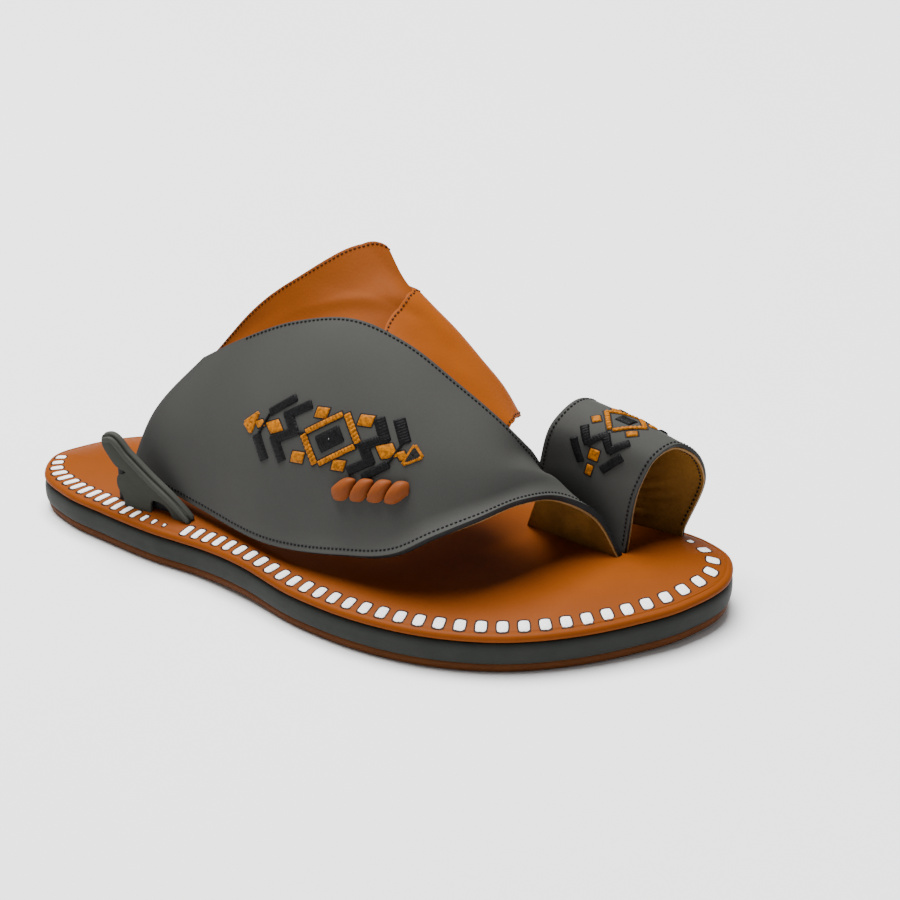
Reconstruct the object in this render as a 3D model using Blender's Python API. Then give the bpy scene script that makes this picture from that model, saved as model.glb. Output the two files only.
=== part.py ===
"""A right-foot leather sandal: layered sole, instep straps, decorated face and big-toe loop.

Sizes are in millimetres. The tables are drawn from a point under the instep, and placed() moves
them so that the origin lies under the middle of the sole, in metres. +X runs to the toe, +Y to
the inner (medial) side of the foot, +Z up, and the sole stands on Z = 0.
"""
import bmesh
import bpy
import numpy as np

MM = 0.001
GAP = 0.35
SHARP_EDGE = 0.7

# Sole outline, heel to toe: place along the shoe, lateral edge, medial edge
HEEL_BACK = (-147.0, -12.0)
TOE_TIP = (143.5, 33.0)
SOLE_STATIONS = (
    (-141.0, -27.0, 1.5),
    (-126.0, -35.0, 18.5),
    (-102.0, -39.8, 30.5),
    (-78.0, -43.0, 35.5),
    (-56.0, -43.8, 38.5),
    (-30.0, -48.5, 43.5),
    (0.0, -56.3, 51.5),
    (28.0, -59.0, 57.0),
    (56.0, -56.0, 60.0),
    (84.0, -45.5, 60.5),
    (106.0, -29.5, 59.5),
    (124.0, -10.5, 56.0),
    (136.5, 7.0, 48.5),
)
STEPS_PER_STATION = 3

# The whole sole lifts a little at the waist and at the toe
ARCH_SPAN = (-64.0, -4.0)
ARCH_LIFT = 1.2
TOE_SPAN = (92.0, 143.0)
TOE_SPRING = 2.0

# Side steps of each layer, bottom to top: inset from the outline, height
OUTSOLE_SIDE = ((3.2, 0.0), (1.7, 0.9), (1.3, 4.0))
MIDSOLE_SIDE = ((1.3, 4.3), (0.4, 5.6), (0.0, 9.0), (0.4, 12.6), (1.1, 13.6))
INSOLE_SIDE = ((1.2, 13.9), (0.2, 14.7), (0.1, 15.7), (0.8, 16.8), (2.4, 17.5))
CROWN_HEIGHT = 4.0
CROWN_REACH = 26.0
CROWN_INSETS = (5.0, 9.0, 14.0)
FLOOR_COLUMNS = 6

# Skin of the upper, heel to toe: lateral free edge, lateral side, top edge of the face
FACE_RIBS = (
    ((-99.0, -23.0, 29.0), (-89.0, -19.5, 55.0), (-66.6, -13.8, 83.5)),
    ((-60.0, -32.0, 25.5), (-59.0, -26.0, 62.0), (-50.3, -12.1, 94.4)),
    ((-20.0, -42.0, 25.5), (-25.0, -31.0, 70.0), (-25.9, -6.8, 106.4)),
    ((12.0, -44.0, 31.5), (7.0, -31.0, 76.0), (-0.9, -2.8, 110.9)),
    ((37.0, -42.0, 38.5), (30.0, -27.0, 76.0), (19.2, 0.0, 104.4)),
    ((49.5, -37.0, 46.5), (46.0, -21.0, 74.0), (39.1, 3.1, 91.2)),
    ((62.5, -26.0, 52.5), (63.0, -11.0, 67.0), (59.0, 8.0, 74.5)),
    ((72.5, -8.0, 54.5), (72.0, 5.0, 60.0), (68.0, 16.0, 58.3)),
    ((81.0, 10.0, 49.3), (76.0, 18.0, 50.5), (66.0, 23.5, 45.5)),
    ((91.8, 20.0, 40.0), (79.0, 24.3, 39.5), (62.0, 27.0, 33.5)),
    ((101.5, 23.8, 21.5), (81.0, 26.3, 21.5), (58.0, 29.0, 21.5)),
)
# Skin of the straps past the face's edge: slope, brow, ridge, medial side, medial base
STRAP_RIBS = (
    ((-35.4, 0.6, 118), (-10.5, 20.2, 131.9), (-3.5, 28.4, 130.6), (-35, 38, 105), (-92, 27, 21.5)),
    ((-14.8, 5.1, 119), (3.5, 19.7, 123.6), (8, 24.8, 121), (-26, 39, 94), (-84, 28.5, 21.5)),
    ((0.2, 7.6, 118.8), (14.6, 19, 117.4), (16.7, 25.1, 113.7), (-16, 40, 85), (-76, 30, 21.5)),
    ((15, 9.4, 112.4), (27.2, 19.5, 106.5), (28.4, 27.6, 102.4), (-6, 40.5, 79), (-68, 31.5, 21.5)),
    ((29.5, 10, 101.8), (37.4, 20.4, 96), (38.7, 28.6, 91.9), (4, 40, 75), (-60, 33, 21.5)),
    ((44, 11.5, 90), (47.3, 20.4, 86.5), (48.6, 28.6, 82.4), (13, 39, 72), (-53, 34, 21.5)),
    ((58.6, 13, 76.6), (57.6, 18.7, 76.5), (57.8, 26.3, 72.4), (22, 38, 70), (-46, 35, 21.5)),
)
# From the ridge to the point where the straps have turned down to the medial side
RIDGE_TURN = (-6.2, 5.4, -3.6)
RIB_STEPS = 4
FACE_WALL = 2.8

# Instep straps: walls, the rear strap's back edge, the front strap's back edge where it lies
# over the rear strap, and its front edge, all as (place across the upper, rib number)
STRAP_WALL = 2.0
OVERLAY_WALL = 1.6
OVERLAY_STEP = 0.02
BACK_EDGE = ((0.0, 0.35), (2.0, 0.12), (2.3, 0.0))
OVERLAY_EDGE = (
    (0.4, 4.2), (2.0, 3.5), (3.0, 2.75), (4.0, 1.95), (5.0, 1.6), (6.0, 1.4), (7.0, 0.6), (8.0, 0.4),
)
FRONT_EDGE = ((0.2, 5.0), (0.6, 5.5), (2.0, 5.85), (4.0, 6.0))
STRAP_START = 0.22
STRAP_STEPS = (4, 5, 5, 5, 3, 3, 6, 7)
REAR_ROWS = 8
FRONT_ROWS = 12

# Toe loop skin, rear edge to front edge: lateral foot, side, shoulder, crest, and down again
LOOP_RIBS = (
    ((61.5, 30.3, 21.5), (62.8, 26.9, 52.5), (65.6, 30.4, 67.5), (70.0, 41.5, 73.8), (72.0, 53.5, 69.0),
     (70.5, 59.0, 50.0), (69.0, 52.0, 20.5)),
    ((82.0, 28.4, 21.5), (84.3, 28.6, 52.4), (87.1, 32.6, 65.6), (91.8, 43.4, 69.6), (94.7, 53.4, 64.6),
     (95.3, 60.0, 48.0), (91.5, 52.8, 20.5)),
    ((102.5, 26.2, 21.5), (105.1, 30.1, 51.8), (108.6, 35.6, 61.2), (113.0, 45.0, 63.8), (117.3, 52.8, 58.6),
     (119.8, 60.0, 44.5), (114.3, 53.5, 20.5)),
)
LOOP_STEPS = 5
LOOP_WALL = 2.6

# Side tab: a folded fin outside the face's rear end, drawn in the X-Z plane
TAB_OUTLINE = (
    (-61.4, 19.5), (-70.9, 27.7), (-81.2, 34.8), (-91.4, 42.7), (-99.6, 49.3), (-103.4, 48.5),
    (-104.3, 45.0), (-101.0, 39.0), (-98.0, 35.7), (-94.9, 34.1), (-97.4, 31.2), (-97.6, 27.3),
    (-94.8, 22.8), (-91.4, 19.5), (-81.4, 19.5), (-80.6, 24.3), (-76.9, 24.7), (-68.4, 19.5),
)
TAB_OUTER_Y = -34.6
TAB_WALL = 4.2
TAB_FOOT = 22.0

# Row of leather beads on the face: rib numbers, place across, half sizes
BEAD_RIBS = (3.17, 3.47, 3.79, 4.14)
BEAD_ACROSS = 0.56
BEAD_HALF = (3.7, 5.0, 1.6)
BEAD_STAND = 0.6
SHORT_STEP = 0.05

# Leather and rubber colours, as linear values, with their roughness
FINISHES = {
    "outsole": ((0.095, 0.032, 0.008), 0.6),
    "midsole": ((0.045, 0.052, 0.050), 0.65),
    "insole": ((0.40, 0.115, 0.022), 0.45),
    "instep_straps": ((0.42, 0.115, 0.022), 0.5),
    "face": ((0.085, 0.085, 0.080), 0.75),
    "toe_loop": ((0.085, 0.085, 0.085), 0.75),
    "side_tab": ((0.060, 0.062, 0.055), 0.7),
    "bead": ((0.40, 0.12, 0.035), 0.45),
}


def smooth_at(points, place):
    """Point on a smooth open curve through the given points; place counts points from 0."""
    points = np.asarray(points, float)
    last = len(points) - 1
    first = min(max(int(np.floor(place)), 0), last - 1)
    t = place - first
    p1 = points[first]
    p2 = points[first + 1]
    p0 = points[first - 1] if first > 0 else 2 * p1 - p2
    p3 = points[first + 2] if first + 2 <= last else 2 * p2 - p1
    before, here, after = (np.linalg.norm(b - a) for a, b in ((p0, p1), (p1, p2), (p2, p3)))
    step = p2 - p1
    leave = (before * step + here ** 2 / before * (p1 - p0)) / (before + here)
    arrive = (after * step + here ** 2 / after * (p3 - p2)) / (after + here)
    return (p1 + leave * t + (3 * step - 2 * leave - arrive) * t ** 2
            + (leave + arrive - 2 * step) * t ** 3)


def grid_normals(grid):
    """Unit normals of a grid of points, rows then columns."""
    along = np.gradient(grid, axis=0)
    across = np.gradient(grid, axis=1)
    normal = np.cross(along, across)
    return normal / np.linalg.norm(normal, axis=2)[:, :, None]


def add_sheet(mesh, grid):
    """Faces over a grid of points, facing along (rows x columns)."""
    rows, columns = grid.shape[:2]
    verts = [[mesh.verts.new(placed(p)) for p in row] for row in grid]
    for i in range(rows - 1):
        for j in range(columns - 1):
            mesh.faces.new((verts[i][j], verts[i + 1][j], verts[i + 1][j + 1], verts[i][j + 1]))


def finish(material_name):
    """The Principled material of that name."""
    colour, roughness = FINISHES[material_name]
    material = bpy.data.materials.get(material_name) or bpy.data.materials.new(material_name)
    material.use_nodes = True
    shader = material.node_tree.nodes["Principled BSDF"]
    shader.inputs["Base Color"].default_value = (*colour, 1.0)
    shader.inputs["Roughness"].default_value = roughness
    return material


def add_object(name, mesh, material_name, collection):
    """Close a bmesh into a named object with its own finish."""
    bmesh.ops.remove_doubles(mesh, verts=mesh.verts, dist=0.001 * MM)
    data = bpy.data.meshes.new(name)
    mesh.to_mesh(data)
    mesh.free()
    data.shade_smooth()
    data.set_sharp_from_angle(angle=SHARP_EDGE)
    data.materials.append(finish(material_name))
    thing = bpy.data.objects.new(name, data)
    collection.objects.link(thing)
    return thing


def add_wall(name, outer, inner, material_name, collection):
    """A closed wall between two grids, with its four edges."""
    mesh = bmesh.new()
    add_sheet(mesh, outer)
    add_sheet(mesh, inner[:, ::-1])
    add_sheet(mesh, np.stack([outer[0], inner[0]], axis=1))
    add_sheet(mesh, np.stack([inner[-1], outer[-1]], axis=1))
    add_sheet(mesh, np.stack([inner[:, 0], outer[:, 0]], axis=1))
    add_sheet(mesh, np.stack([outer[:, -1], inner[:, -1]], axis=1))
    return add_object(name, mesh, material_name, collection)


def sole_outline():
    """Points around the sole: heel, lateral side, toe, medial side."""
    lateral = [(x, low) for x, low, high in SOLE_STATIONS]
    medial = [(x, high) for x, low, high in reversed(SOLE_STATIONS)]
    knots = np.array([HEEL_BACK, *lateral, TOE_TIP, *medial])
    count = len(knots)
    looped = np.vstack([knots[-2:], knots, knots[:3]])
    places = np.arange(count * STEPS_PER_STATION) / STEPS_PER_STATION
    return np.array([smooth_at(looped, 2 + place) for place in places])


OUTLINE = sole_outline()
SOLE_MIDDLE = np.array([*(OUTLINE.min(axis=0) + OUTLINE.max(axis=0)) / 2, 0.0])


def placed(point):
    """A drawn point in metres, from the origin under the middle of the sole."""
    return tuple((np.asarray(point) - SOLE_MIDDLE) * MM)


def inset_outline(inset):
    along = np.roll(OUTLINE, -1, axis=0) - np.roll(OUTLINE, 1, axis=0)
    along /= np.linalg.norm(along, axis=1)[:, None]
    inward = np.stack([-along[:, 1], along[:, 0]], axis=1)
    return OUTLINE + inward * inset


def lift(x):
    """Rise of the whole sole at the waist and the toe."""
    waist = np.clip((x - ARCH_SPAN[0]) / (ARCH_SPAN[1] - ARCH_SPAN[0]), 0, 1)
    toe = np.clip((x - TOE_SPAN[0]) / (TOE_SPAN[1] - TOE_SPAN[0]), 0, 1)
    return ARCH_LIFT * np.sin(np.pi * waist) ** 2 + TOE_SPRING * toe ** 2


def edge_distance(xy):
    steps = np.linalg.norm(OUTLINE[None] - xy.reshape(-1, 1, 2), axis=2)
    return steps.min(axis=1).reshape(xy.shape[:-1])


def crown(xy):
    """Height of the padded insole above its rim."""
    rim = INSOLE_SIDE[-1][0]
    inside = np.clip((edge_distance(xy) - rim) / (CROWN_REACH - rim), 0, 1)
    return CROWN_HEIGHT * (1 - (1 - inside) ** 2)


def insole_top(x, y):
    xy = np.array([[x, y]])
    return float(INSOLE_SIDE[-1][1] + crown(xy)[0] + lift(x))


def landed(points):
    """The same points set down just above the insole."""
    heights = [insole_top(x, y) + GAP for x, y in points[:, :2]]
    return np.column_stack([points[:, :2], heights])


def half_rows(ring):
    """Split a ring into matching lateral and medial rows, heel to toe."""
    half = len(ring) // 2
    return ring[:half + 1], np.vstack([ring[:1], ring[:half - 1:-1]])


def add_sole_layer(name, side, crowned, collection):
    """A layer of the sole lofted through its side steps, flat or crowned on top."""
    lateral_columns = []
    medial_columns = []
    for inset, height in side:
        ring = inset_outline(inset)
        heights = height + lift(ring[:, 0])
        lateral, medial = half_rows(np.column_stack([ring, heights]))
        lateral_columns.append(lateral)
        medial_columns.append(medial)
    if crowned:
        for inset in CROWN_INSETS:
            ring = inset_outline(inset)
            heights = side[-1][1] + crown(ring) + lift(ring[:, 0])
            lateral, medial = half_rows(np.column_stack([ring, heights]))
            lateral_columns.append(lateral)
            medial_columns.append(medial)
    middle = []
    for share in np.arange(1, FLOOR_COLUMNS) / FLOOR_COLUMNS:
        column = lateral_columns[-1] * (1 - share) + medial_columns[-1] * share
        rise = crown(column[:, :2]) if crowned else 0
        column[:, 2] = side[-1][1] + rise + lift(column[:, 0])
        middle.append(column)
    top = np.stack([*lateral_columns, *middle, *reversed(medial_columns)], axis=1)
    floor = []
    for share in np.arange(FLOOR_COLUMNS + 1) / FLOOR_COLUMNS:
        column = medial_columns[0] * (1 - share) + lateral_columns[0] * share
        column[:, 2] = side[0][1] + lift(column[:, 0])
        floor.append(column)
    mesh = bmesh.new()
    add_sheet(mesh, top)
    add_sheet(mesh, np.stack(floor, axis=1))
    return add_object(name, mesh, name, collection)


def rib_table():
    """Knots of every rib; past the straps a rib runs on straight from the face's edge."""
    straps = []
    for slope, brow, ridge, side, base in STRAP_RIBS:
        straps.append(np.array([slope, brow, ridge, np.add(ridge, RIDGE_TURN), side, base]))
    straps.append(2 * straps[-1] - straps[-2])
    rows = []
    for number, face in enumerate(FACE_RIBS):
        if number < len(straps):
            beyond = straps[number]
        else:
            step = np.subtract(face[2], face[1])
            beyond = [np.add(face[2], step * k) for k in range(1, len(straps[0]) + 1)]
        rows.append([*face, *beyond])
    return np.array(rows, float)


RIBS = rib_table()


def skin(rib, across):
    """Point on the upper's skin at a rib number and a place across it."""
    knots = np.array([smooth_at(RIBS[:, k], rib) for k in range(RIBS.shape[1])])
    return smooth_at(knots, across)


def skin_grid(ribs_by_row, across_by_column):
    """Skin points; ribs_by_row[i][j] is the rib number for row i at column j."""
    return np.array([[skin(rib, across) for rib, across in zip(row, across_by_column)]
                     for row in ribs_by_row])


def add_face(collection):
    ribs = np.linspace(0, len(FACE_RIBS) - 1, (len(FACE_RIBS) - 1) * RIB_STEPS + 1)
    across = np.linspace(0, 2, 2 * RIB_STEPS + 1)
    outer = skin_grid([[rib] * len(across) for rib in ribs], across)
    inner = outer - grid_normals(outer) * FACE_WALL
    outer[-1] = landed(outer[-1])
    inner[-1] = landed(inner[-1])
    return add_wall("face", outer, inner, "face", collection)


def add_instep_straps(collection):
    """Rear strap and the front strap over it, joined: the crossing is a step in one wall."""
    across = [STRAP_START]
    for knot, steps in enumerate(STRAP_STEPS):
        across.extend(np.linspace(max(knot, STRAP_START), knot + 1, steps + 1)[1:])
    overlay = np.interp(across, *zip(*OVERLAY_EDGE))
    back = np.interp(across, *zip(*BACK_EDGE))
    front = np.interp(across, *zip(*FRONT_EDGE))
    rear_rows = [back + (overlay - back) * share for share in np.linspace(0, 1, REAR_ROWS)]
    step_top = overlay + OVERLAY_STEP
    front_rows = [step_top + (front - step_top) * share for share in np.linspace(0, 1, FRONT_ROWS)]
    grid = skin_grid([*rear_rows, *front_rows], across)
    normals = grid_normals(grid)
    depth = np.zeros(grid.shape[:2])
    depth[:REAR_ROWS] = OVERLAY_WALL
    top = FACE_WALL + GAP + depth
    bottom = np.full_like(top, FACE_WALL + GAP + OVERLAY_WALL + STRAP_WALL)
    outer = grid - normals * top[:, :, None]
    inner = grid - normals * bottom[:, :, None]
    outer[:, -1] = landed(outer[:, -1])
    inner[:, -1] = landed(inner[:, -1])
    return add_wall("instep_straps", outer, inner, "instep_straps", collection)


def add_toe_loop(collection):
    knots = np.array(LOOP_RIBS)
    rows = np.linspace(0, 2, 2 * LOOP_STEPS + 1)
    columns = np.linspace(0, 6, 6 * LOOP_STEPS - 5)
    outer = np.array([[smooth_at([smooth_at(knots[:, k], row) for k in range(knots.shape[1])], column)
                       for column in columns] for row in rows])
    inner = outer - grid_normals(outer) * LOOP_WALL
    for foot in (0, -1):
        outer[:, foot] = landed(outer[:, foot])
        inner[:, foot] = landed(inner[:, foot])
    return add_wall("toe_loop", outer, inner, "toe_loop", collection)


def add_side_tab(collection):
    """A flat fin: its outline filled and pulled out to the tab's thickness."""
    mesh = bmesh.new()
    outer = np.array([(x, TAB_OUTER_Y, z) for x, z in TAB_OUTLINE])
    inner = outer + (0, TAB_WALL, 0)
    for side in (outer, inner):
        foot = side[:, 2] < TAB_FOOT
        side[foot] = landed(side[foot])
    fin = mesh.faces.new([mesh.verts.new(placed(point)) for point in outer])
    bmesh.ops.extrude_face_region(mesh, geom=[fin])
    mesh.verts.ensure_lookup_table()
    for vert, point in zip(mesh.verts[len(inner):], inner):
        vert.co = placed(point)
    bmesh.ops.recalc_face_normals(mesh, faces=mesh.faces)
    return add_object("side_tab", mesh, "side_tab", collection)


def add_bead(number, rib, collection):
    """A flat oval bead standing on the face."""
    place = skin(rib, BEAD_ACROSS)
    along = skin(rib + SHORT_STEP, BEAD_ACROSS) - place
    along /= np.linalg.norm(along)
    up = skin(rib, BEAD_ACROSS + SHORT_STEP) - place
    normal = np.cross(along, up)
    normal /= np.linalg.norm(normal)
    up = np.cross(normal, along)
    mesh = bmesh.new()
    bmesh.ops.create_uvsphere(mesh, u_segments=10, v_segments=6, radius=1)
    centre = place + normal * (BEAD_HALF[2] + BEAD_STAND)
    for vert in mesh.verts:
        spot = centre + along * vert.co.x * BEAD_HALF[0] + up * vert.co.y * BEAD_HALF[1]
        vert.co = placed(spot + normal * vert.co.z * BEAD_HALF[2])
    return add_object(f"bead_{number}", mesh, "bead", collection)


def main():
    for thing in list(bpy.data.objects):
        bpy.data.objects.remove(thing, do_unlink=True)
    sandal = bpy.data.collections.new("sandal")
    bpy.context.scene.collection.children.link(sandal)
    add_sole_layer("outsole", OUTSOLE_SIDE, False, sandal)
    add_sole_layer("midsole", MIDSOLE_SIDE, False, sandal)
    add_sole_layer("insole", INSOLE_SIDE, True, sandal)
    add_instep_straps(sandal)
    add_face(sandal)
    add_toe_loop(sandal)
    add_side_tab(sandal)
    for number, rib in enumerate(BEAD_RIBS, start=1):
        add_bead(number, rib, sandal)


main()
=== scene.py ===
"""Looks of a right-foot leather sandal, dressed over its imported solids.

Sizes are in millimetres, drawn as in the part from a point under the instep, and placed() moves
them to the frame, in metres. +X runs to the toe, +Y to the inner (medial) side, +Z up.
"""
import math

import bmesh
import bpy
import numpy as np
from mathutils import Matrix, Vector


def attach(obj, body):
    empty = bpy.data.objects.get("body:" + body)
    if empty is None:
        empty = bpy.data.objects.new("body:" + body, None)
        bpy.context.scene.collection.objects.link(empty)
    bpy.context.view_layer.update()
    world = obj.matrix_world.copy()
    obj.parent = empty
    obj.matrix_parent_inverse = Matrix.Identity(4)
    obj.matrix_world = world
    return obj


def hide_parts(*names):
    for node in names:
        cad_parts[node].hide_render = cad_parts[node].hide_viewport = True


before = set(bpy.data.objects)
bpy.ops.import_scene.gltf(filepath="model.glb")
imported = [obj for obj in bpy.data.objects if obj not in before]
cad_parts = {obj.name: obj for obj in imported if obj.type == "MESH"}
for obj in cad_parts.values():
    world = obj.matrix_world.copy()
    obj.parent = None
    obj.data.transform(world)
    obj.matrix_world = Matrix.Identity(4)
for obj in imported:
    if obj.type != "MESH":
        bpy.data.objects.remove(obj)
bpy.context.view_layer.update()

MM = 0.001
# The frame's origin
SOLE_MIDDLE = np.array((-1.75, 0.77, 0.0))
# The upper's depth in the footbed, gap between plies, distance at which points are joined
SINK, PLY_GAP, WELD = 0.4, 0.05, 0.002
# First and last share of a grid, with room for rounding
FIRST, LAST = 0.001, 0.999
# Short steps for slopes: on a skin, from an edge, along the tab's band
SHORT, PROBE, BAND_STEP = 0.02, 0.1, 0.05

# Sole outline, heel to toe: place along the shoe, lateral edge, medial edge
HEEL_BACK = (-147, -12)
TOE_TIP = (143.5, 33)
SOLE_STATIONS = (
    (-141, -27, 1.5), (-126, -35, 18.5), (-102, -39.8, 30.5), (-78, -43, 35.5), (-56, -43.8, 38.5),
    (-30, -48.5, 43.5), (0, -56.3, 51.5), (28, -59, 57), (56, -56, 60), (84, -45.5, 60.5),
    (106, -29.5, 59.5), (124, -10.5, 56), (136.5, 7, 48.5),
)
STEPS_PER_STATION = 10

# The whole sole lifts a little at the waist and at the toe
ARCH_SPAN = (-64.0, -4.0)
ARCH_LIFT = 1.2
TOE_SPAN = (92.0, 143.0)
TOE_SPRING = 2.0

# Side steps of each layer, bottom to top: inset from the outline, height
OUTSOLE_SIDE = ((3.2, 0.0), (1.9, 0.5), (1.5, 1.4), (1.2, 3.6), (1.5, 4.2))
MIDSOLE_SIDE = ((1.7, 4.25), (0.9, 4.5), (0.35, 5.7), (0, 9), (0.4, 12.4), (1.1, 13.4), (2.2, 13.7))
INSOLE_SIDE = ((2.6, 13.8), (1.3, 14.0), (0.25, 14.8), (0.1, 15.7), (0.7, 16.8), (2.4, 17.5))
# Crown of the footbed, and the groove inside its rolled rim: distance in, width, depth
CROWN_HEIGHT = 4.0
CROWN_REACH = 26.0
RIM_GROOVE = (2.75, 0.4, 0.2)
# Rows of a layer's grid, and how closely the top's rows crowd towards the rim
SIDE_ROWS, FLOOR_ROWS, CROWN_ROWS = 18, 5, 44
ROW_CROWDING = 1.7

# Skin of the upper, heel to toe: lateral free edge, lateral side, top edge of the face
FACE_RIBS = (
    ((-99, -23, 29), (-89, -19.5, 55), (-66.6, -13.8, 83.5)),
    ((-60, -32, 25.5), (-59, -26, 62), (-50.3, -12.1, 94.4)),
    ((-20, -42, 25.5), (-25, -31, 70), (-25.9, -6.8, 106.4)),
    ((12, -44, 31.5), (7, -31, 76), (-0.9, -2.8, 110.9)),
    ((37, -42, 38.5), (30, -27, 76), (19.2, 0, 104.4)),
    ((49.5, -37, 46.5), (46, -21, 74), (39.1, 3.1, 91.2)),
    ((62.5, -26, 52.5), (63, -11, 67), (59, 8, 74.5)),
    ((72.5, -8, 54.5), (72, 5, 60), (68, 16, 58.3)),
    ((81, 10, 49.3), (76, 18, 50.5), (66, 23.5, 45.5)),
    ((91.8, 20, 40), (79, 24.3, 39.5), (62, 27, 33.5)),
    ((101.5, 23.8, 21.5), (81, 26.3, 21.5), (58, 29, 21.5)),
)
# Skin of the straps past the face's edge: slope, brow, ridge, medial side, medial base
STRAP_RIBS = (
    ((-35.4, 0.6, 118), (-10.5, 20.2, 131.9), (-1.8, 29.3, 130.6), (-35, 38, 105), (-92, 27, 21.5)),
    ((-14.8, 5.1, 119), (3.5, 19.7, 123.6), (8, 24.8, 121), (-26, 39, 94), (-84, 28.5, 21.5)),
    ((0.2, 7.6, 118.8), (14.6, 19, 117.4), (16.7, 25.1, 113.7), (-16, 40, 85), (-76, 30, 21.5)),
    ((15, 9.4, 112.4), (27.2, 19.5, 106.5), (28.4, 27.6, 102.4), (-6, 40.5, 79), (-68, 31.5, 21.5)),
    ((29.5, 10, 101.8), (37.4, 20.4, 96), (38.7, 28.6, 91.9), (4, 40, 75), (-60, 33, 21.5)),
    ((44, 11.5, 90), (47.3, 20.4, 86.5), (48.6, 28.6, 82.4), (13, 39, 72), (-53, 34, 21.5)),
    ((58.6, 13, 76.6), (57.6, 18.7, 76.5), (57.8, 26.3, 72.4), (22, 38, 70), (-46, 35, 21.5)),
)
# From the ridge to the point where the straps have turned down to the medial side
RIDGE_TURN = (-6.2, 5.4, -3.6)

# The face's last rib and place across, usual step between ribs, crowding to the low hem
LAST_RIB, FACE_TOP = len(FACE_RIBS) - 1, 2.0
RIB_STEP = 40.0
HEM_CROWDING = 1.3
# Plies of the face and the loop, and how far the lining stands back from the cut edge
FACE_PLY = 2.3
FACE_LINING = 0.75
LOOP_PLY = 1.6
LOOP_LINING = 0.95
LINING_BACK = 0.4
# Depth of the straps behind the face's skin
FACE_DEPTH = 3.15
# The face's low hem curls outwards: which way, how far, over what width, and between which ribs
HEM_WAY = np.array((0.424, -0.765, 0.485))
HEM_FLARE = 3.4
HEM_WIDTH = 9.0
HEM_RIBS = ((0.8, 0), (2.2, 0.5), (4.2, 1), (7.4, 1), (9.4, 0))

# Straps: plies, ribs that the rear one stops short of the front edge, edges as (place across, rib)
STRAP_WALL = 2.0
OVERLAY_WALL = 1.6
STRAP_TUCK = 0.12
BACK_EDGE = (
    (0.2, 0.32), (1, 0.2), (2, -0.05), (2.5, -0.1), (3, -0.03), (3.5, -0.04), (4, -0.14),
    (4.5, -0.22), (5, -0.06), (5.5, 0.1), (6, 0.15), (7, 0), (8, 0),
)
OVERLAY_EDGE = (
    (0.2, 4.3), (2, 3.5), (2.5, 3.12), (3, 2.66), (3.5, 2.2), (4, 1.74), (4.5, 1.5), (5, 1.45),
    (6, 1.28), (7, 0.78), (8, 0.4),
)
FRONT_EDGE = (
    (0.2, 5.2), (1, 5.8), (2, 6.05), (2.5, 6.08), (3, 6.07), (3.5, 6.12), (4, 6.12),
    (4.5, 6.05), (5, 5.98), (5.5, 5.92), (6, 5.88), (7, 5.86), (8, 5.9),
)
SAMPLES_PER_POINT = 20
# Columns of the straps' grid: share of the columns, place across
STRAP_COLUMNS = (
    (0, 0.22), (0.1, 1), (0.24, 2), (0.38, 3), (0.52, 4), (0.6, 5), (0.68, 6), (0.84, 7), (1, 8),
)

# Toe loop skin, rear edge to front edge: lateral foot, side, shoulder, crest, and down again
LOOP_RIBS = (
    ((61.5, 30.3, 21.5), (62.8, 26.9, 52.5), (65.6, 30.4, 67.5), (70, 41.5, 73.8),
     (72, 53.5, 69), (70.5, 59, 50), (69, 52, 20.5)),
    ((82, 28.4, 21.5), (84.3, 28.6, 52.4), (87.1, 32.6, 65.6), (91.8, 43.4, 69.6),
     (94.7, 53.4, 64.6), (95.3, 60, 48), (91.5, 52.8, 20.5)),
    ((101.6, 24.7, 21.5), (105.1, 30.1, 51.8), (108.6, 35.6, 61.2), (113, 45, 63.8),
     (117.3, 52.8, 58.6), (119.8, 60, 44.5), (114.3, 53.5, 20.5)),
)
# The loop's last row and column, middle row and crest, and rows left free by the lining
LOOP_ROWS, LOOP_COLUMNS = len(LOOP_RIBS) - 1, len(LOOP_RIBS[0]) - 1
LOOP_MIDDLE, LOOP_CREST = 1.0, 3.0
LOOP_LINING_BACK = 0.025

# Wrinkles of the loop's lining, fanning from the rear of the medial foot: shares forward and around
# at each end; then size, weight of both shares in it, fading ends
LOOP_WRINKLES = (
    ((0.10, 0.940), (0.50, 0.815)), ((0.12, 0.952), (0.62, 0.850)), ((0.12, 0.963), (0.74, 0.880)),
    ((0.14, 0.973), (0.80, 0.908)), ((0.16, 0.983), (0.86, 0.936)), ((0.20, 0.992), (0.90, 0.962)),
)
WRINKLE_DEPTH = 1.1
WRINKLE_WIDTH = 0.008
WRINKLE_WEIGHTS = (0.45, 1.0)
WRINKLE_FADE = (0.1, 0.85)

# Side tab: a folded fin of two plies outside the face's rear end, drawn in the X-Z plane
TAB_OUTLINE = (
    (-61.4, 19.5), (-70.9, 27.7), (-81.2, 34.8), (-91.4, 42.7), (-99.6, 49.3), (-103.4, 48.5),
    (-104.3, 45), (-101, 39), (-97.9, 35.6), (-93.2, 33.9), (-97, 31.9), (-97.6, 27.3),
    (-94.8, 22.8), (-91.4, 19.5), (-81.4, 19.5), (-80.6, 24.3), (-76.9, 24.7), (-68.4, 19.5),
)
TAB_STEPS = 4
TAB_OUTER_Y = -34.6
TAB_PLY = 1.7
# Splay of the outer ply: how far, from which height down, over what height, its curve
TAB_SPLAY = (0.7, 42.0, 22.0, 1.5)
# Inner ply, near-black as painted shade seen through the web's notch: span, points, low edge, gap
# to the outer ply; both are set down below TAB_FOOT
TAB_INNER_SHADE_SPAN = (-98.6, -65.0, 24)
TAB_INNER_SHADE_LOW, TAB_INNER_SHADE_GAP = 20.0, 0.4
TAB_FOOT = 22.0
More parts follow.
